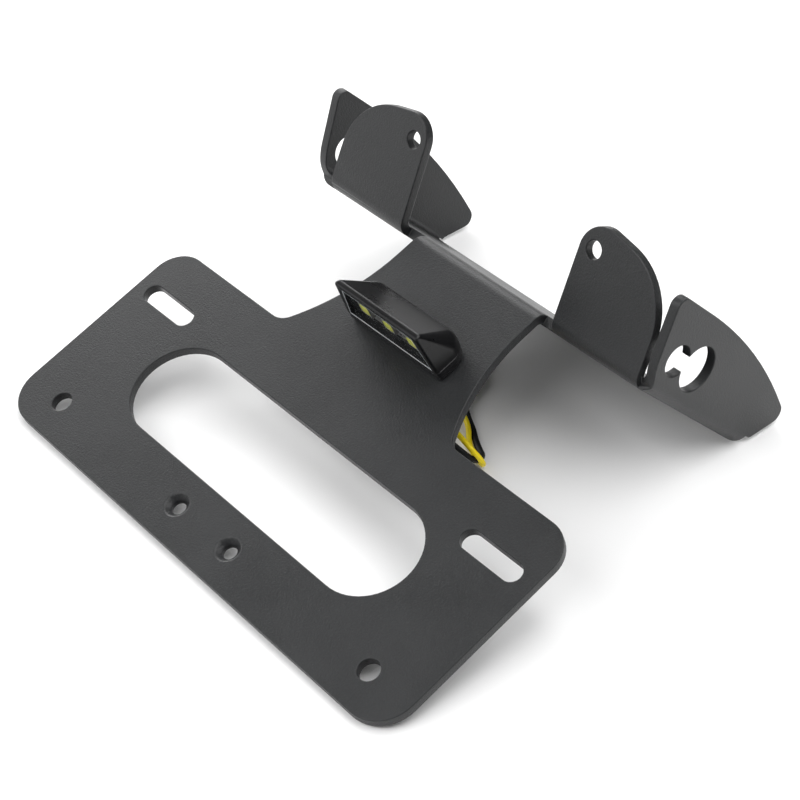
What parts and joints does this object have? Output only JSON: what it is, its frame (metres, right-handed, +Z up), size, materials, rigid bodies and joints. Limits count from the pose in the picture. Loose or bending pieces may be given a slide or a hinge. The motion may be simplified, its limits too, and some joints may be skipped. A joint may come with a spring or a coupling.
{
  "type": "tail tidy",
  "caption": "Folded steel number plate bracket for a motorcycle tail, with a windowed plate panel, a waisted stem carrying a plate lamp, fixing tabs and side flanges with keyholes.",
  "frame": {"origin": "the middle of the footprint on the floor, where the bracket stands on the plate's bottom edge and the back panel's far edge", "axes": "+X across the plate to the right as seen from its front, +Y from the plate's bottom edge towards the side flanges, +Z up"},
  "size_m": [0.18, 0.174, 0.0768],
  "materials": {
    "coated_steel": "fine-grained black powder coat",
    "housing_black": "smooth moulded black",
    "base_black": "smooth moulded black",
    "gasket_foam": "closed-cell foam",
    "lens_clear": "clear moulded plastic",
    "board_white": "white solder mask",
    "led_package": "white moulded package with a silvery rim",
    "led_phosphor": "yellow-green gel",
    "resistor_black": "dull black chips",
    "wire_yellow": "smooth insulation",
    "wire_black": "smooth insulation",
    "plated_steel": "bright zinc plating",
    "rubber_black": "smooth moulded rubber",
    "tie_black": "satin nylon",
    "sleeve_clear": "milky soft plastic",
    "terminal_brass": "plain brass"
  },
  "bodies": {
    "root": {"bracket": "coated_steel", "lamp_housing": "housing_black", "lamp_base": "base_black", "lamp_gasket": "gasket_foam", "lamp_lens": "lens_clear", "circuit_board": "board_white", "led_left": "led_package", "led_middle": "led_package", "led_right": "led_package", "phosphor_left": "led_phosphor", "phosphor_middle": "led_phosphor", "phosphor_right": "led_phosphor", "board_resistors": "resistor_black", "yellow_tail": "wire_yellow", "black_tail": "wire_black", "lamp_studs": "plated_steel", "stud_washers": "plated_steel", "stud_nuts": "plated_steel", "lead_grommet": "rubber_black", "yellow_lead": "wire_yellow", "black_lead": "wire_black", "yellow_hank": "wire_yellow", "black_hank": "wire_black", "yellow_sleeve": "sleeve_clear", "black_sleeve": "sleeve_clear", "yellow_terminal": "terminal_brass", "black_terminal": "terminal_brass", "hank_ties": "tie_black"}
  },
  "joints": []
}
